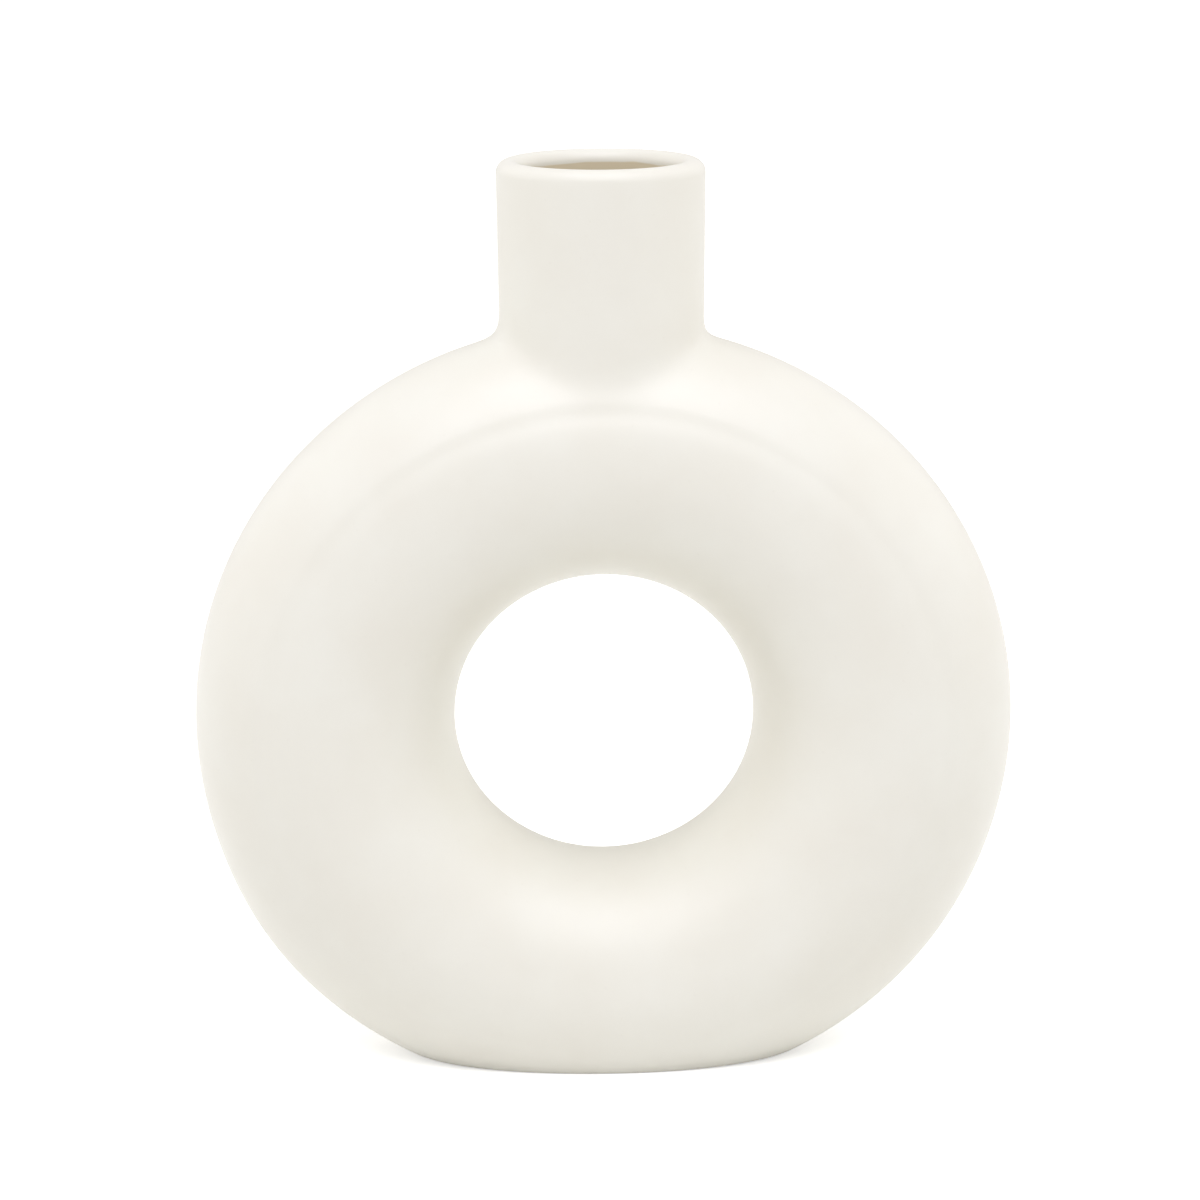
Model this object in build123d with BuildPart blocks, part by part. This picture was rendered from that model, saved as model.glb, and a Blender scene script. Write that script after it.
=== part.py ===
from build123d import *
import os
from math import acos, asin, cos, degrees, radians, sin, tan

# Donut vase in ceramic: a hollow ring on its edge, a neck on top and a flat foot.
# Millimetres, +Z up, the front faces -Y. The origin is the middle of the foot, on the table.

# Hollow ring, its axis along Y. The foot's flat cuts this much off the bottom of its circle.
ring_radius = 77.3
section_radius = 36.0
wall = 6.0
foot_cut = 13.2
# The soft clay sank a little before it was fired, so the ring is this much wider than tall
slump_scale = 1.037

# Joint between the outer band and the inner channel: the faint ring line on the front face. It
# leaves a narrow strip of the band above the foot. The channel lies a step lower than the band.
seam_above_foot = 4.6
seam_step = 0.25

# Neck, its height measured from the top of the ring
neck_height = 46.6
bore_radius = 22.3
neck_wall = 7.2
neck_taper = 0.8
neck_fillet = 2.5
neck_sink = 1.0
skirt_margin = 0.4

# Foot: the band's rim is rounded, and the plate closes the opening inside it, level with the rim
foot_edge_radius = 1.2
foot_plate_thickness = 6.0

# Worked out from the sizes above
hollow_radius = section_radius - wall
seam_outset = section_radius - foot_cut - seam_above_foot
seam_angle = degrees(acos(seam_outset / section_radius))
ring_centre_height = ring_radius + section_radius - foot_cut
section_centre_height = ring_centre_height + ring_radius
ring_top = section_centre_height + section_radius
neck_top_radius = bore_radius + neck_wall
neck_root_radius = neck_top_radius - neck_taper
lip_radius = neck_wall / 2
lip_start_height = ring_top + neck_height - lip_radius

# In front the neck meets the ring at a shallow angle, so its fillet reaches less far there
front_slope = asin(neck_root_radius / section_radius)
front_fillet_reach = neck_fillet * tan((radians(90) - front_slope) / 2) * cos(front_slope)
skirt_side = neck_root_radius + neck_fillet + skirt_margin
skirt_front = neck_root_radius + front_fillet_reach + skirt_margin

ring_plane = Plane.XY.offset(ring_centre_height)
ring_axis = Axis((0, 0, ring_centre_height), (0, 1, 0))


def section_point(radius, angle):
    """A point of the ring's round section, at an angle from its outermost point."""
    return (ring_radius + radius * cos(radians(angle)), radius * sin(radians(angle)))


def wall_outline(outside, inside, start, sweep):
    """Draws a stretch of the ring's wall, seen in section."""
    CenterArc((ring_radius, 0), outside, start, sweep)
    Line(section_point(outside, start + sweep), section_point(inside, start + sweep))
    CenterArc((ring_radius, 0), inside, start, sweep)
    Line(section_point(inside, start), section_point(outside, start))


def whole_ring(radius):
    """A solid ring of the given section, as it was before it sank."""
    with BuildPart() as ring:
        with BuildSketch(ring_plane):
            with Locations((ring_radius, 0)):
                Circle(radius)
        revolve(axis=ring_axis)
    return ring.part


ring_body = whole_ring(section_radius)
ring_hollow = whole_ring(hollow_radius)
neck_seat = whole_ring(section_radius - neck_sink)

# The ring outside the patch that the neck's skirt covers
with BuildPart() as ring_round_skirt:
    add(ring_body)
    with BuildSketch(Plane.XY.offset(section_centre_height)):
        Ellipse(skirt_side / slump_scale, skirt_front)
    extrude(amount=section_radius * 2, mode=Mode.SUBTRACT)

# Neck root before it sank: narrowed so that it comes out round, smoothed out over the ring with
# a fillet, then coped to the ring's curve and pressed a little way into it
with BuildPart() as neck_root:
    with BuildSketch(Plane.XY.offset(section_centre_height)):
        Ellipse(neck_root_radius / slump_scale, neck_root_radius)
    with BuildSketch(Plane.XY.offset(lip_start_height)):
        Ellipse(neck_top_radius / slump_scale, neck_top_radius)
    loft(ruled=True)
    add(ring_body)
    above_ring = neck_root.edges().filter_by(lambda e: e.center().Z > section_centre_height)
    root_line = above_ring.filter_by(lambda e: e.bounding_box().max.Z < ring_top)
    fillet(root_line, radius=neck_fillet)
    add(ring_round_skirt.part, mode=Mode.SUBTRACT)
    add(neck_seat, mode=Mode.SUBTRACT)

# Neck: a slightly tapered tube with a fully rounded lip
with BuildPart() as neck:
    add(neck_root.part)
    scale(by=(slump_scale, 1, 1))
    with BuildSketch(Plane.XY.offset(section_centre_height)):
        Circle(bore_radius)
    extrude(amount=lip_start_height - section_centre_height, mode=Mode.SUBTRACT)
    with BuildSketch(Plane.XZ):
        with BuildLine():
            CenterArc((neck_top_radius - lip_radius, lip_start_height), lip_radius, 0, 180)
            Line((bore_radius, lip_start_height), (neck_top_radius, lip_start_height))
        make_face()
    revolve(axis=Axis.Z)
neck.part.label = "neck"

# Outer band of the ring, cut flat at the foot, with the neck's seat and bore
with BuildPart() as outer_wall:
    with BuildSketch(ring_plane):
        with BuildLine():
            wall_outline(section_radius, hollow_radius, -seam_angle, 2 * seam_angle)
        make_face()
    revolve(axis=ring_axis)
    split(bisect_by=Plane.XY, keep=Keep.TOP)
    foot_rim = outer_wall.faces().sort_by(Axis.Z)[0].outer_wire().edges()
    fillet(foot_rim, radius=foot_edge_radius)
    add(neck_root.part, mode=Mode.SUBTRACT)
    with BuildSketch(Plane.XY.offset(section_centre_height)):
        Ellipse(bore_radius / slump_scale, bore_radius)
    extrude(amount=section_radius, mode=Mode.SUBTRACT)
    scale(by=(slump_scale, 1, 1))
outer_wall.part.label = "outer_wall"

# Inner channel of the ring, round the centre hole
with BuildPart() as inner_wall:
    with BuildSketch(ring_plane):
        with BuildLine():
            wall_outline(section_radius - seam_step, hollow_radius, seam_angle, 360 - 2 * seam_angle)
        make_face()
    revolve(axis=ring_axis)
    add(neck_root.part, mode=Mode.SUBTRACT)
    scale(by=(slump_scale, 1, 1))
inner_wall.part.label = "inner_wall"

# Foot plate: a slab trimmed to the inside of the ring
with BuildPart() as foot_plate:
    add(ring_hollow)
    scale(by=(slump_scale, 1, 1))
    split(bisect_by=Plane.XY, keep=Keep.TOP)
    split(bisect_by=Plane.XY.offset(foot_plate_thickness), keep=Keep.BOTTOM)
foot_plate.part.label = "foot_plate"

os.makedirs("parts", exist_ok=True)
export_step(outer_wall.part, "parts/outer_wall.step")
export_step(inner_wall.part, "parts/inner_wall.step")
export_step(neck.part, "parts/neck.step")
export_step(foot_plate.part, "parts/foot_plate.step")
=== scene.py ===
import math

import bmesh
import bpy
from mathutils import Matrix, Vector, noise


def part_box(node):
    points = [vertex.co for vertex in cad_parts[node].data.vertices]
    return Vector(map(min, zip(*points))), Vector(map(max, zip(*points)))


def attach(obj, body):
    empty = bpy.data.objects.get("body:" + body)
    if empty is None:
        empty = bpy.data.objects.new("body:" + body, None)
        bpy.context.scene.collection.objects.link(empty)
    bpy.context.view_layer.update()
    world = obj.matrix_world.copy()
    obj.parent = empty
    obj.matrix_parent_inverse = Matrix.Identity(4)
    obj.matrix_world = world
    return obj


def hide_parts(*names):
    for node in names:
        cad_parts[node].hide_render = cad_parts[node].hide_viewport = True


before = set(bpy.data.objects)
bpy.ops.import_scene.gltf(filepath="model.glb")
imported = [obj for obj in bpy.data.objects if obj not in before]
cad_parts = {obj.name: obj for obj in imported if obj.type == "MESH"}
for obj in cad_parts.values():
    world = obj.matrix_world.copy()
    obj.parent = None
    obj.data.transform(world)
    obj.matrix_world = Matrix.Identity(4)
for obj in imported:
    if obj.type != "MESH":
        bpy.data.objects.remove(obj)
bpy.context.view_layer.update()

# Donut vase in matte glazed stoneware, in metres. The front faces -Y, and the ring's axis runs
# along Y. These sizes are the solids' own. SLUMP is how much wider than tall the sunk ring is.
MM = 0.001
RING_RADIUS = 77.3 * MM
SECTION_RADIUS = 36.0 * MM
WALL = 6.0 * MM
FOOT_CUT = 13.2 * MM
SLUMP = 1.037
SEAM_ABOVE_FOOT = 4.6 * MM
SEAM_STEP = 0.25 * MM
FOOT_RIM_RADIUS = 1.2 * MM
BORE_RADIUS = 22.3 * MM
NECK_WALL = 7.2 * MM
NECK_TAPER = 0.8 * MM
NECK_SINK = 1.0 * MM
LIP_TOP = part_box("neck")[1].z

# Worked out from them
RING_CENTRE_HEIGHT = RING_RADIUS + SECTION_RADIUS - FOOT_CUT
RING_CENTRE = Vector((0, 0, RING_CENTRE_HEIGHT))
SECTION_CENTRE = Vector((RING_RADIUS, 0, RING_CENTRE_HEIGHT))
HOLLOW_RADIUS = SECTION_RADIUS - WALL
SEAM_RADIUS = RING_CENTRE_HEIGHT - SEAM_ABOVE_FOOT
NECK_FOOT_HEIGHT = RING_CENTRE_HEIGHT + RING_RADIUS
RING_TOP = NECK_FOOT_HEIGHT + SECTION_RADIUS
NECK_TOP_RADIUS = BORE_RADIUS + NECK_WALL
NECK_ROOT_RADIUS = NECK_TOP_RADIUS - NECK_TAPER
LIP_RADIUS = NECK_WALL / 2
LIP_START = LIP_TOP - LIP_RADIUS

# Softer than in the solids: the foot's rim, which is rubbed rounder towards its two ends, and the
# neck's root, whose clay eases into the ring over these reaches, the longest on the left
FOOT_END_RADIUS = 6.0 * MM
FOOT_HALF_LENGTH = 55 * MM
NECK_EASE_LEFT = 9.0 * MM
NECK_EASE_RIGHT = 6.6 * MM
NECK_EASE_FRONT = 6.5 * MM

# The joint of band and channel, smoothed over: how far from the ring's axis its step and its
# groove lie, and how wide and deep they are
STEP_RADIUS = 94.5 * MM
STEP_WIDTH = 4.0 * MM
GROOVE_RADIUS = 92.7 * MM
GROOVE_REACH = 2.2 * MM
GROOVE_DEPTH = 0.2 * MM

# How uneven the hand left the skin, and how far from the lip and the floor that fades out
UNEVEN = 0.1 * MM
UNEVEN_SPACING = 45 * MM
FADE = 12 * MM

# How the soft ring settled: it spread low down, most of all to the left, and its hole closed a
# little
SPREAD_LEFT = 2.2 * MM
SPREAD_RIGHT = 1.0 * MM
SPREAD_HEIGHT = 17.5 * MM
SPREAD_REACH = 38.5 * MM
SPREAD_SIDE = 45 * MM
HOLE_CLOSING = 0.1 * MM

# Points and rows along the curves of the meshes
RING_STEPS = 256
SECTION_STEPS = 160
HOLLOW_STEPS = 64
FOOT_SIDE_ROWS = 2
FOOT_RIM_ROWS = 10
NECK_STEPS = 192
LIP_STEPS = 32
NECK_WALL_ROWS = 14
NECK_EASE_ROWS = 18
NECK_ROWS = NECK_WALL_ROWS + NECK_EASE_ROWS
BORE_ROWS = 12

# How the meshes are made. The ring is first cut at FOOT_CUT_HEIGHT, and its rim is then drawn down
# to the floor. The neck is spun down to NECK_OVERHANG below the ring's top before it is coped.
FOOT_CUT_HEIGHT = 1.0 * MM
NECK_OVERHANG = 12 * MM
NECK_DROP = LIP_START - RING_TOP + NECK_OVERHANG

# A row of points beside the seam keeps its edge crisp, the skirt's edge sinks into the ring, and
# the bore through the ring clears the neck's own
SEAM_ROW = 0.3 * MM
SKIRT_SINK = 0.01 * MM
BORE_CLEARANCE = 0.05 * MM

# A point this near to a form is on its outside. Points this near to each other are one.
SKIN_REACH = WALL / 4
WELD = 0.01 * MM
CUT_THRESHOLD = WELD / 10
SHARP_ANGLE = math.radians(40)
TURN = 2 * math.pi

# How a point is moved onto a form: the stride over which its slope is read, and in how many rounds
PROBE = 0.01 * MM
PROBES = [Vector(row) * PROBE for row in Matrix.Identity(3)]
SETTLE_ROUNDS = 8


# Forms of the clay: each gives how far a point lies outside it, and is zero on its surface

def ring_depth(point, radius):
    """The hollow ring, whose round section has this radius."""
    out = math.hypot(point.x / SLUMP, point.z - RING_CENTRE_HEIGHT) - RING_RADIUS
    return math.hypot(out, point.y) - radius


def skin(point):
    return ring_depth(point, SECTION_RADIUS)


def hollow(point):
    return ring_depth(point, HOLLOW_RADIUS)


def neck_radius(height):
    share = (LIP_START - height) / (LIP_START - NECK_FOOT_HEIGHT)
    return NECK_TOP_RADIUS + (NECK_ROOT_RADIUS - NECK_TOP_RADIUS) * share


def eased(first, second, reach):
    """The larger of two depths, with the edge between them rounded off over a reach."""
    overlap = max(reach - abs(first - second), 0) / reach
    return max(first, second) + overlap ** 3 * reach / 6


def neck_ease(point):
    """How far the neck's clay eases into the ring on this side of the neck."""
    frontal = point.y ** 2 / (point.x ** 2 + point.y ** 2)
    side = NECK_EASE_LEFT if point.x < 0 else NECK_EASE_RIGHT
    return side + (NECK_EASE_FRONT - side) * frontal


def neck_form(point):
    """The neck where it runs out over the ring."""
    tube = math.hypot(point.x, point.y) - neck_radius(point.z)
    return -eased(-tube, -skin(point), neck_ease(point))


def slope(point, form):
    """Which way a form's depth grows fastest, and how fast."""
    rise = [form(point + step) - form(point - step) for step in PROBES]
    return Vector(rise) / (2 * PROBE)


def settle(point, form, depth=0.0, flat=False):
    """Moves a point straight to where a form has this depth, and keeps its height if flat."""
    for _ in range(SETTLE_ROUNDS):
        way = slope(point, form)
        if flat:
            way.z = 0
        point = point - way * ((form(point) - depth) / way.length_squared)
    return point


def soft_share(value):
    """Rises softly from 0 to 1 as a value does."""
    value = min(max(value, 0), 1)
    return value ** 2 * (3 - 2 * value)


def ring_top_height(x, y):
    """The height of the ring's outside under the neck."""
    out = RING_RADIUS + math.sqrt(SECTION_RADIUS ** 2 - y ** 2)
    return RING_CENTRE_HEIGHT + math.sqrt(out ** 2 - (x / SLUMP) ** 2)


def joint_depth(point):
    """How deep the skin lies at the joint of band and channel: it was smoothed over by hand, but
    the channel stayed a step lower, and the slip shrank into a faint groove."""
    out = math.hypot(point.x / SLUMP, point.z - RING_CENTRE_HEIGHT)
    groove = GROOVE_DEPTH * math.exp(-((out - GROOVE_RADIUS) / GROOVE_REACH) ** 2)
    return SEAM_STEP * soft_share((STEP_RADIUS - out) / STEP_WIDTH + 0.5) + groove


def settled(point):
    """How far a point of the outside moved as the soft ring settled under its own weight."""
    across, up = point.x / SLUMP, point.z - RING_CENTRE_HEIGHT
    out = (math.hypot(across, up) - RING_RADIUS) / SECTION_RADIUS
    low = math.exp(-((point.z - SPREAD_HEIGHT) / SPREAD_REACH) ** 2)
    spread = -SPREAD_LEFT if point.x < 0 else SPREAD_RIGHT
    spread *= low * soft_share(abs(point.x) / SPREAD_SIDE) * soft_share(out)
    closing = HOLE_CLOSING * soft_share(-out)
    return Vector((spread, 0, 0)) - Vector((across, 0, up)).normalized() * closing


# Work on a mesh

def start(name, primitive, **settings):
    """Adds a primitive as a new piece and opens it for editing."""
    bpy.ops.object.select_all(action="DESELECT")
    primitive(**settings)
    piece = bpy.context.object
    piece.name = name
    bpy.ops.object.transform_apply(location=True, rotation=True, scale=True)
    bpy.ops.object.mode_set(mode="EDIT")
    bpy.context.tool_settings.mesh_select_mode = (True, False, False)
    bpy.ops.mesh.select_all(action="SELECT")
    return piece


def pick(piece, test):
    """Selects the points that pass a test."""
    bpy.ops.mesh.select_all(action="DESELECT")
    mesh = bmesh.from_edit_mesh(piece.data)
    for vertex in mesh.verts:
        vertex.select_set(test(vertex))
    mesh.select_flush(True)
    bmesh.update_edit_mesh(piece.data)


def place_picked(piece, where):
    """Moves each selected point to where it belongs."""
    mesh = bmesh.from_edit_mesh(piece.data)
    for vertex in mesh.verts:
        if vertex.select:
            vertex.co = where(vertex.co.copy())
    bmesh.update_edit_mesh(piece.data)


def close_and_turn(centre, axis, steps):
    """Spins the outline round an axis into a closed form, and welds where it meets."""
    bpy.ops.mesh.select_all(action="SELECT")
    bpy.ops.mesh.spin(steps=steps, angle=TURN, center=centre, axis=axis)
    bpy.ops.mesh.select_all(action="SELECT")
    bpy.ops.mesh.remove_doubles(threshold=WELD)
    bpy.ops.mesh.normals_make_consistent(inside=False)


def smooth_by_hand(piece, form):
    """Lets the outside settle, and presses it in at the joint and a little unevenly all over."""
    placed = []
    for vertex in piece.data.vertices:
        point = vertex.co.copy()
        if abs(form(point)) < SKIN_REACH:
            fade = min(max((LIP_START - point.z) / FADE, 0), max(point.z / FADE, 0), 1)
            uneven = UNEVEN * (noise.noise(point / UNEVEN_SPACING) + 1) / 2
            pressed = slope(point, form).normalized() * (joint_depth(point) + uneven) * fade
            point += settled(point) - pressed
        placed.append(point)
    for vertex, point in zip(piece.data.vertices, placed):
        vertex.co = point


def finish(piece, node):
    """Smooths a piece, glazes it and puts it in the place of its solid."""
    bpy.ops.object.select_all(action="DESELECT")
    piece.select_set(True)
    bpy.context.view_layer.objects.active = piece
    bpy.ops.object.shade_smooth_by_angle(angle=SHARP_ANGLE)
    piece.data.materials.clear()
    piece.data.materials.append(glaze)
    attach(piece, "root")
    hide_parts(node)


# Materials, with the sizes of what shows in them

CLOUD_SIZE = 28 * MM
SPECK_SPACING = 4.5 * MM
PIT_SIZE = 1.6 * MM
PIT_DEPTH = 0.1 * MM
SAND_SIZE = 0.9 * MM
GRIT_DEPTH = 0.2 * MM

# A speck is full in its core and gone at its edge, both as shares of the specks' spacing
SPECK_CORE = 0.035
SPECK_EDGE = 0.09
SPECK_STRENGTH = 0.06

# Inside the neck the glaze ends at a line just under the lip, which wanders a little. Below it the
# colour is partly bare clay and partly painted shade of the bore's inside.
GLAZE_LINE = LIP_START + 0.9 * MM
GLAZE_LINE_WIDTH = 0.4 * MM
GLAZE_LINE_WANDER = 1.2 * MM
GLAZE_LINE_SPACING = 9 * MM
INSIDE_MARGIN = 0.8 * MM


def linear(hex_colour):
    """An sRGB hex colour as linear RGBA."""
    parts = [int(hex_colour[i:i + 2], 16) / 255 for i in (1, 3, 5)]
    return (*[c / 12.92 if c <= 0.04045 else ((c + 0.055) / 1.055) ** 2.4 for c in parts], 1)


def add(tree, kind, inputs=None, **settings):
    """Adds a node with its settings, and sets or links its inputs."""
    made = tree.nodes.new("ShaderNode" + kind)
    for name, value in settings.items():
        setattr(made, name, value)
    for socket, value in (inputs or {}).items():
        if isinstance(value, bpy.types.NodeSocket):
            tree.links.new(value, made.inputs[socket])
        else:
            made.inputs[socket].default_value = value
    return made


def new_material(name):
    made = bpy.data.materials.new(name)
    made.use_nodes = True
    made.node_tree.nodes.clear()
    return made, made.node_tree


def coat_colour(tree, place):
    """The warm off-white of the coat, with its clouds and its specks."""
    clouds = add(tree, "TexNoise", {"Vector": place, "Scale": 1 / CLOUD_SIZE, "Detail": 3,
                                    "Roughness": 0.5})
    cloud = add(tree, "MapRange", {"Value": clouds.outputs["Fac"], "From Min": 0.3,
                                   "From Max": 0.7})
    coat = add(tree, "Mix", {"Factor": cloud.outputs["Result"],
                             "A": linear("#E4E1D3"), "B": linear("#E7E5D8")}, data_type="RGBA")
    specks = add(tree, "TexVoronoi", {"Vector": place, "Scale": 1 / SPECK_SPACING}, feature="F1")
    speck = add(tree, "MapRange", {"Value": specks.outputs["Distance"], "From Min": SPECK_CORE,
                                   "From Max": SPECK_EDGE, "To Min": SPECK_STRENGTH,
                                   "To Max": 0.0})
    speckled = add(tree, "Mix", {"Factor": speck.outputs["Result"],
                                 "A": coat.outputs["Result"], "B": linear("#BDB29A")},
                   data_type="RGBA")
    return speckled.outputs["Result"]


def bare_and_shade_share(tree, place):
    """Is 1 inside the neck under the glaze's line, where bare clay and painted shade of the bore
    show, and 0 elsewhere.
    """
    where = add(tree, "SeparateXYZ", {0: place})
    wander = add(tree, "TexNoise", {"Vector": place, "Scale": 1 / GLAZE_LINE_SPACING,
                                    "Detail": 1})
    lift = add(tree, "Math", {0: wander.outputs["Fac"], 1: GLAZE_LINE_WANDER},
               operation="MULTIPLY")
    height = add(tree, "Math", {0: where.outputs["Z"], 1: lift.outputs[0]}, operation="ADD")
    below = add(tree, "MapRange", {"Value": height.outputs[0],
                                   "From Min": GLAZE_LINE - GLAZE_LINE_WIDTH,
                                   "From Max": GLAZE_LINE, "To Min": 1.0, "To Max": 0.0})
    flat = add(tree, "CombineXYZ", {0: where.outputs["X"], 1: where.outputs["Y"]})
    out = add(tree, "VectorMath", {0: flat.outputs[0]}, operation="LENGTH")
    in_bore = add(tree, "Math", {0: out.outputs["Value"], 1: BORE_RADIUS + INSIDE_MARGIN},
                  operation="LESS_THAN")
    above_ring = add(tree, "Math", {0: where.outputs["Z"], 1: NECK_FOOT_HEIGHT},
                     operation="GREATER_THAN")
    inside = add(tree, "Math", {0: in_bore.outputs[0], 1: above_ring.outputs[0]},
                 operation="MULTIPLY")
    bare = add(tree, "Math", {0: below.outputs["Result"], 1: inside.outputs[0]},
               operation="MULTIPLY")
    return bare.outputs[0]


def matte_glaze():
    """Thin matte glaze, sprayed over smoothed stoneware: the warm off-white clouds a little where
    the coat is thinner, fine iron specks of the body show through, and the skin is faintly
    pitted like an eggshell, so it has a broad soft sheen and no mirror highlight. The sprayed
    coat ends inside the lip, and the clay below it is bare and dry, in a darker beige that is
    partly its own colour and partly painted shade of the bore's inside."""
    made, tree = new_material("stoneware_matte_glaze")
    place = add(tree, "TexCoord").outputs["Object"]
    bare = bare_and_shade_share(tree, place)
    # Under the glaze's line inside the neck the colour is a darker beige: partly the bare clay's
    # own colour, partly painted shade of the bore's inside.
    colour = add(tree, "Mix", {"Factor": bare, "A": coat_colour(tree, place),
                               "B": linear("#DACEB1")}, data_type="RGBA")
    pits = add(tree, "TexNoise", {"Vector": place, "Scale": 1 / PIT_SIZE, "Detail": 2})
    pitted = add(tree, "Bump", {"Height": pits.outputs["Fac"], "Strength": 0.12,
                                "Distance": PIT_DEPTH})
    sheen = add(tree, "MapRange", {"Value": pits.outputs["Fac"], "To Min": 0.38, "To Max": 0.5})
    roughness = add(tree, "Mix", {0: bare, 2: sheen.outputs["Result"], 3: 0.9},
                    data_type="FLOAT")
    shader = add(tree, "BsdfPrincipled", {"Base Color": colour.outputs["Result"],
                                          "Roughness": roughness.outputs[0],
                                          "Normal": pitted.outputs["Normal"], "IOR": 1.5})
    add(tree, "OutputMaterial", {"Surface": shader.outputs["BSDF"]})
    return made


def bare_clay():
    """Fired stoneware, wiped clean of glaze under the foot: sandy, dry and a little darker."""
    made, tree = new_material("stoneware_bare_clay")
    place = add(tree, "TexCoord").outputs["Object"]
    sand = add(tree, "TexNoise", {"Vector": place, "Scale": 1 / SAND_SIZE, "Detail": 4})
    body = add(tree, "Mix", {"Factor": sand.outputs["Fac"], "A": linear("#CDC0A4"),
                             "B": linear("#D8CCB2")}, data_type="RGBA")
    grit = add(tree, "Bump", {"Height": sand.outputs["Fac"], "Strength": 0.3,
                              "Distance": GRIT_DEPTH})
    shader = add(tree, "BsdfPrincipled", {"Base Color": body.outputs["Result"],
                                          "Roughness": 0.9, "Normal": grit.outputs["Normal"]})
    add(tree, "OutputMaterial", {"Surface": shader.outputs["BSDF"]})
    return made


glaze = matte_glaze()
clay = bare_clay()


# The ring: a hollow section in two stretches, each spun round the ring's axis

def ring_stretch(name, outside):
    """One stretch of the ring's wall, outside or inside the seam, as a closed form."""
    piece = start(name, bpy.ops.mesh.primitive_circle_add, vertices=SECTION_STEPS,
                  radius=SECTION_RADIUS, location=SECTION_CENTRE)
    bpy.ops.mesh.primitive_circle_add(vertices=HOLLOW_STEPS, radius=HOLLOW_RADIUS,
                                      location=SECTION_CENTRE)
    bpy.ops.mesh.select_all(action="SELECT")
    bpy.ops.mesh.bisect(plane_co=(SEAM_RADIUS, 0, 0), plane_no=(1, 0, 0),
                        clear_inner=outside, clear_outer=not outside)
    bpy.ops.mesh.select_all(action="SELECT")
    beside = SEAM_RADIUS + (SEAM_ROW if outside else -SEAM_ROW)
    bpy.ops.mesh.bisect(plane_co=(beside, 0, 0), plane_no=(1, 0, 0))
    for side in (-1, 1):
        pick(piece, lambda v: abs(v.co.x - SEAM_RADIUS) < WELD and v.co.y * side > 0)
        bpy.ops.mesh.edge_face_add()
    close_and_turn(RING_CENTRE, (0, 1, 0), RING_STEPS)
    bpy.ops.mesh.select_all(action="SELECT")
    bpy.ops.transform.resize(value=(SLUMP, 1, 1), center_override=(0, 0, 0))
    return piece


def rim_point(point, row):
    """Where a row of the foot's rim lies: down the ring's side, then round a ball that rolls on
    the floor inside the ring."""
    rubbed = soft_share(abs(point.x) / FOOT_HALF_LENGTH) ** 2
    radius = FOOT_RIM_RADIUS + (FOOT_END_RADIUS - FOOT_RIM_RADIUS) * rubbed
    ball = settle(Vector((point.x, point.y, radius)), skin, -radius, flat=True)
    outwards = slope(ball, skin).normalized()
    if row > FOOT_SIDE_ROWS:
        share = (row - FOOT_SIDE_ROWS) / FOOT_RIM_ROWS
        return ball + outwards.slerp(Vector((0, 0, -1)), share) * radius
    side = ball + outwards * radius
    side.z = FOOT_CUT_HEIGHT + (side.z - FOOT_CUT_HEIGHT) * row / FOOT_SIDE_ROWS
    return settle(side, skin, flat=True)


def cut_foot(piece):
    """Cuts the ring flat to stand on, and rounds its outer rim into the flat."""
    bpy.ops.mesh.select_all(action="SELECT")
    bpy.ops.mesh.bisect(plane_co=(0, 0, FOOT_CUT_HEIGHT), plane_no=(0, 0, 1), clear_inner=True,
                        threshold=CUT_THRESHOLD)

    def at_cut(vertex):
        return vertex.is_boundary and abs(vertex.co.z - FOOT_CUT_HEIGHT) < WELD

    def on_skin(vertex):
        return abs(skin(vertex.co)) < SKIN_REACH

    pick(piece, lambda v: at_cut(v) and not on_skin(v))
    bpy.ops.mesh.extrude_region_move(
        TRANSFORM_OT_translate={"value": (0, 0, -FOOT_CUT_HEIGHT)})
    place_picked(piece, lambda p: settle(Vector((p.x, p.y, 0)), hollow, flat=True))
    pick(piece, lambda v: at_cut(v) and on_skin(v))
    rows = FOOT_SIDE_ROWS + FOOT_RIM_ROWS
    drop = FOOT_CUT_HEIGHT / rows
    for row in range(1, rows + 1):
        bpy.ops.mesh.extrude_region_move(TRANSFORM_OT_translate={"value": (0, 0, -drop)})
        place_picked(piece, lambda p: rim_point(p, row))
    pick(piece, lambda v: v.is_boundary)
    bpy.ops.mesh.bridge_edge_loops()


band = ring_stretch("outer_band", True)
cut_foot(band)
bpy.ops.object.mode_set(mode="OBJECT")

channel = ring_stretch("inner_channel", False)
bpy.ops.object.mode_set(mode="OBJECT")


# The neck: a profile spun round, its foot then coped to the ring

# The ring's fall beside the neck is read over this stride. On a steep fall the skirt reaches
# further out, but no further than at this cosine, and always a little past the easing.
FALL_STRIDE = 1.0 * MM
STEEPEST_COSINE = 0.5
SKIRT_MARGIN = 1.02


def spin_neck():
    """The neck's half section, a round lip with two straight sides, spun into a tube."""
    piece = start("neck_tube", bpy.ops.mesh.primitive_circle_add, vertices=LIP_STEPS,
                  radius=LIP_RADIUS, location=(NECK_TOP_RADIUS - LIP_RADIUS, 0, LIP_START),
                  rotation=(math.pi / 2, 0, 0))
    bpy.ops.mesh.bisect(plane_co=(0, 0, LIP_START), plane_no=(0, 0, 1), clear_inner=True)
    for radius, rows in ((NECK_TOP_RADIUS, NECK_ROWS), (BORE_RADIUS, BORE_ROWS)):
        drop = NECK_DROP / rows
        pick(piece, lambda v: (v.co - Vector((radius, 0, LIP_START))).length < WELD)
        for _ in range(rows):
            bpy.ops.mesh.extrude_region_move(TRANSFORM_OT_translate={"value": (0, 0, -drop)})
    pick(piece, lambda v: v.co.z < LIP_START - NECK_DROP + WELD)
    bpy.ops.mesh.edge_face_add()
    close_and_turn((0, 0, 0), (0, 0, 1), NECK_STEPS)
    return piece


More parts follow.
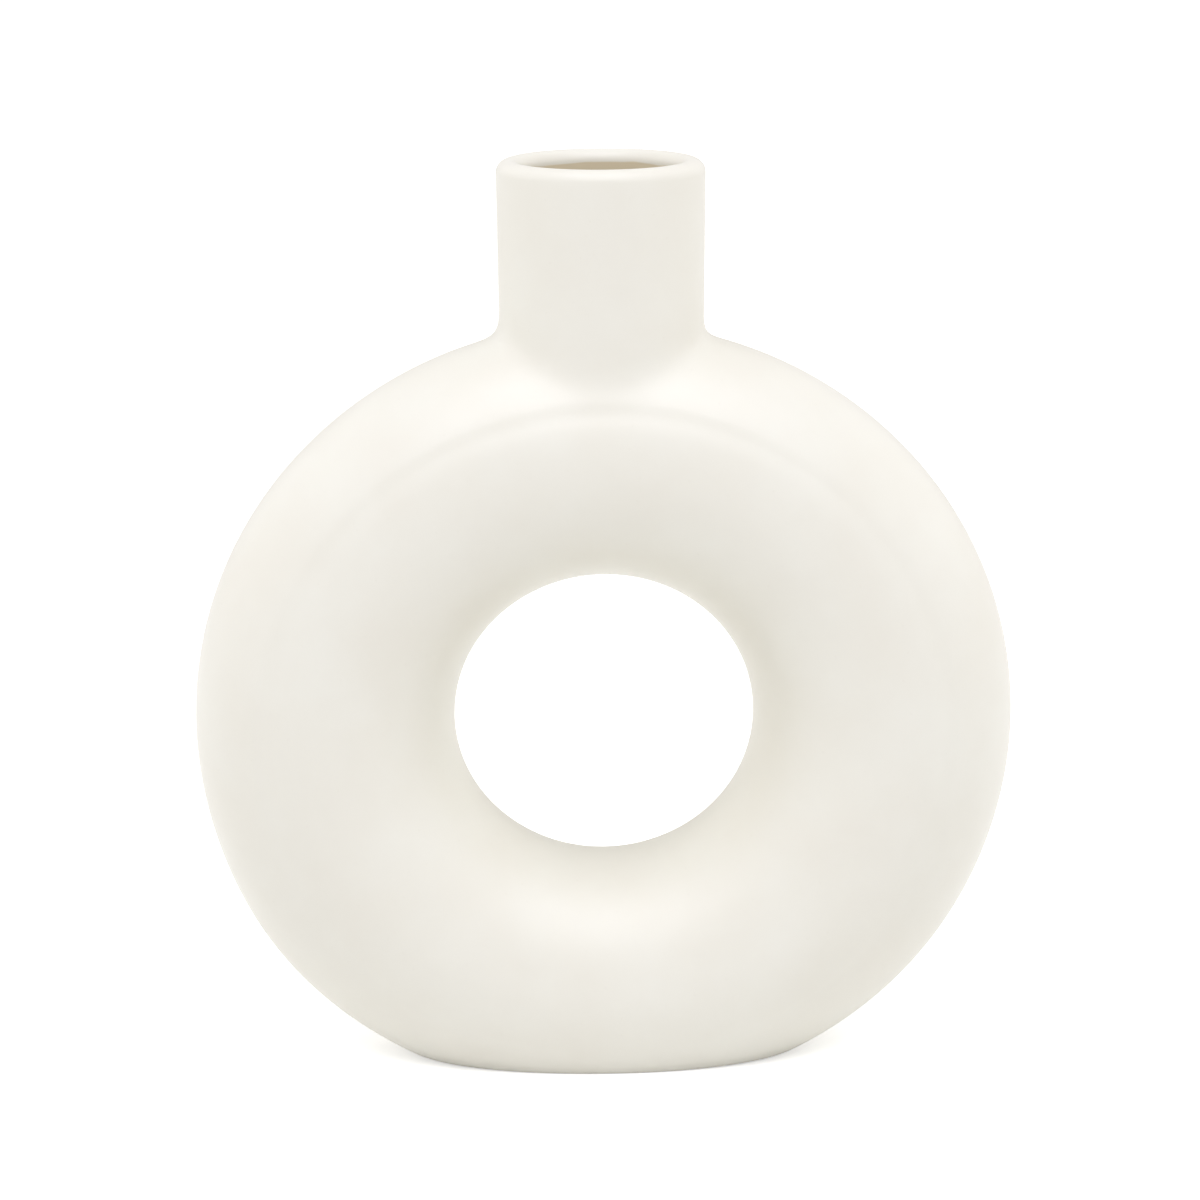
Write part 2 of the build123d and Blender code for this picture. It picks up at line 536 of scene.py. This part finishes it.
def bore_point(outwards, share):
    """A point this share of the way down the bore, which ends in the neck's seat."""
    side = outwards * BORE_RADIUS
    end = ring_top_height(side.x, side.y) - NECK_SINK
    side.z = LIP_START + (end - LIP_START) * share
    return side


def wall_point(outwards, height):
    """A point of the neck's tapered outside."""
    side = outwards * neck_radius(height)
    side.z = height
    return side


def outside_point(outwards, row):
    """Where a row of the outside lies: down the tapered wall, out over the ring in an eased
    skirt, and last down into the neck's seat."""
    root = outwards * NECK_ROOT_RADIUS
    root.z = ring_top_height(root.x, root.y)
    beyond = outwards * (NECK_ROOT_RADIUS + FALL_STRIDE)
    beyond.z = ring_top_height(beyond.x, beyond.y)
    fall = (beyond - root).normalized()
    reach = neck_ease(root) / max(fall.dot(outwards), STEEPEST_COSINE) * SKIRT_MARGIN
    top = root.z + reach
    edge = root + fall * reach
    if row <= NECK_WALL_ROWS:
        return wall_point(outwards, LIP_START + (top - LIP_START) * row / NECK_WALL_ROWS)
    share = (row - NECK_WALL_ROWS) / (NECK_EASE_ROWS - 1)
    if share > 1:
        return settle(edge, skin, -NECK_SINK)
    guess = wall_point(outwards, top).lerp(root, share).lerp(root.lerp(edge, share), share)
    return settle(guess, neck_form, -SKIRT_SINK * share)


def coped_point(point):
    """Where a point of the spun neck goes once its foot is coped to the ring."""
    if point.z > LIP_START - WELD:
        return point
    outwards = Vector((point.x, point.y, 0)).normalized()
    share = (LIP_START - point.z) / NECK_DROP
    if math.hypot(point.x, point.y) < BORE_RADIUS + LIP_RADIUS:
        return bore_point(outwards, share)
    return outside_point(outwards, round(share * NECK_ROWS))


def drill_bore(piece):
    """Takes the neck's bore on through a piece into the hollow ring."""
    bpy.ops.mesh.primitive_cylinder_add(vertices=NECK_STEPS,
                                        radius=BORE_RADIUS + BORE_CLEARANCE,
                                        depth=2 * SECTION_RADIUS, location=(0, 0, RING_TOP))
    drill = bpy.context.object
    bpy.context.view_layer.objects.active = piece
    bore = piece.modifiers.new("bore", "BOOLEAN")
    bore.object = drill
    bore.solver = "EXACT"
    bpy.ops.object.modifier_apply(modifier=bore.name)
    bpy.data.objects.remove(drill)


neck = spin_neck()
bpy.ops.mesh.select_all(action="SELECT")
place_picked(neck, coped_point)
bpy.ops.mesh.normals_make_consistent(inside=False)
bpy.ops.object.mode_set(mode="OBJECT")

drill_bore(band)

smooth_by_hand(band, skin)
smooth_by_hand(channel, skin)
smooth_by_hand(neck, neck_form)

finish(band, "outer_wall")
finish(channel, "inner_wall")
finish(neck, "neck")

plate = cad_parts["foot_plate"]
plate.data.materials.clear()
plate.data.materials.append(clay)


# Studio: a plain white floor, bright walls at the two sides, a dimmer one behind and a softbox
# above in front. A level of 1 is white.

FLOOR_SIZE = 14
FLOOR_GLOW = 0.5
SIDE_LEVEL = 1.2
FRONT_LEVEL = 0.06
BACK_LEVEL = 0.6
WALL_TINT = (1.0, 0.985, 1.0, 1)

# A side's light begins in directions that point this much to it, and the light behind is full in
# those that point this much back, where 1 is straight there
SIDE_BEGINS = 0.25
BACK_FULL = 0.8

SOFTBOX_PLACE = Vector((0, -1.5, 3.3))
SOFTBOX_WIDTH = 3.8
SOFTBOX_LENGTH = 3.4
SOFTBOX_WATTS = 126
SOFTBOX_TINT = (1.0, 1.0, 1.1)


def studio_white():
    """White matte paint: the camera and reflections see it as white, and it keeps the shadow."""
    made, tree = new_material("studio_white")
    rays = add(tree, "LightPath")
    direct = add(tree, "Math", {0: rays.outputs["Is Camera Ray"],
                                1: rays.outputs["Is Glossy Ray"]}, operation="MAXIMUM")
    seen = add(tree, "Math", {0: direct.outputs[0], 1: rays.outputs["Is Transmission Ray"]},
               operation="MAXIMUM")
    glow = add(tree, "Math", {0: seen.outputs[0], 1: FLOOR_GLOW}, operation="MULTIPLY")
    paint = add(tree, "BsdfDiffuse", {"Color": linear("#F2F2F0")})
    shine = add(tree, "Emission", {"Color": (1, 1, 1, 1), "Strength": glow.outputs[0]})
    both = add(tree, "AddShader", {0: paint.outputs[0], 1: shine.outputs[0]})
    add(tree, "OutputMaterial", {"Surface": both.outputs[0]})
    return made


def light_walls(tree):
    """The light all round, which the camera sees as plain white."""
    way = add(tree, "SeparateXYZ", {0: add(tree, "TexCoord").outputs["Generated"]})
    sideways = add(tree, "Math", {0: way.outputs["X"]}, operation="ABSOLUTE")
    sides = add(tree, "MapRange", {"Value": sideways.outputs[0], "From Min": SIDE_BEGINS,
                                   "From Max": 1.0, "To Min": FRONT_LEVEL,
                                   "To Max": SIDE_LEVEL}, interpolation_type="SMOOTHSTEP")
    behind = add(tree, "MapRange", {"Value": way.outputs["Y"], "From Min": 0.0,
                                    "From Max": BACK_FULL, "To Min": 0.0,
                                    "To Max": BACK_LEVEL}, interpolation_type="SMOOTHSTEP")
    level = add(tree, "Math", {0: sides.outputs[0], 1: behind.outputs[0]}, operation="ADD")
    seen = add(tree, "LightPath").outputs["Is Camera Ray"]
    strength = add(tree, "Mix", {0: seen, 2: level.outputs[0], 3: 1.0}, data_type="FLOAT")
    tint = add(tree, "Mix", {"Factor": seen, "A": WALL_TINT, "B": (1, 1, 1, 1)},
               data_type="RGBA")
    walls = add(tree, "Background", {"Color": tint.outputs["Result"],
                                     "Strength": strength.outputs[0]})
    add(tree, "OutputWorld", {"Surface": walls.outputs[0]})


bpy.ops.mesh.primitive_plane_add(size=FLOOR_SIZE, location=(0, 0, 0))
floor = bpy.context.object
floor.name = "studio_floor"
floor.data.materials.append(studio_white())

world = bpy.data.worlds.new("studio_light")
bpy.context.scene.world = world
world.use_nodes = True
world.node_tree.nodes.clear()
light_walls(world.node_tree)

lamp = bpy.data.lights.new("overhead_softbox", "AREA")
lamp.shape = "RECTANGLE"
lamp.size = SOFTBOX_WIDTH
lamp.size_y = SOFTBOX_LENGTH
lamp.energy = SOFTBOX_WATTS
lamp.color = SOFTBOX_TINT
softbox = bpy.data.objects.new("overhead_softbox", lamp)
softbox.location = SOFTBOX_PLACE
softbox.rotation_euler = (RING_CENTRE - SOFTBOX_PLACE).to_track_quat("-Z", "Y").to_euler()
bpy.context.scene.collection.objects.link(softbox)

# Camera, above the vase and tipped down to it, then swung a little to the vase's left. Its lens
# and sensor are in millimetres, its place and how far it sees are in metres, and its angles are
# in radians.
CAMERA_PLACE = Vector((-0.97, -1200, 399.1)) * MM
CAMERA_PITCH = 0.218
CAMERA_ROLL = -0.0067
CAMERA_SWING = -0.028
CAMERA_LENS = 128.55
SENSOR_WIDTH = 36
SIGHT = 30

lens = bpy.data.cameras.new("camera")
lens.sensor_width = SENSOR_WIDTH
lens.lens = CAMERA_LENS
lens.clip_end = SIGHT
camera = bpy.data.objects.new("camera", lens)
bpy.context.scene.collection.objects.link(camera)
tilt = (Matrix.Rotation(math.pi / 2 - CAMERA_PITCH, 4, "X")
        @ Matrix.Rotation(CAMERA_ROLL, 4, "Z"))
camera.matrix_world = (Matrix.Rotation(CAMERA_SWING, 4, "Z")
                       @ Matrix.Translation(CAMERA_PLACE) @ tilt)
bpy.context.scene.camera = camera

bpy.context.scene.view_settings.view_transform = "Standard"

bpy.context.view_layer.update()
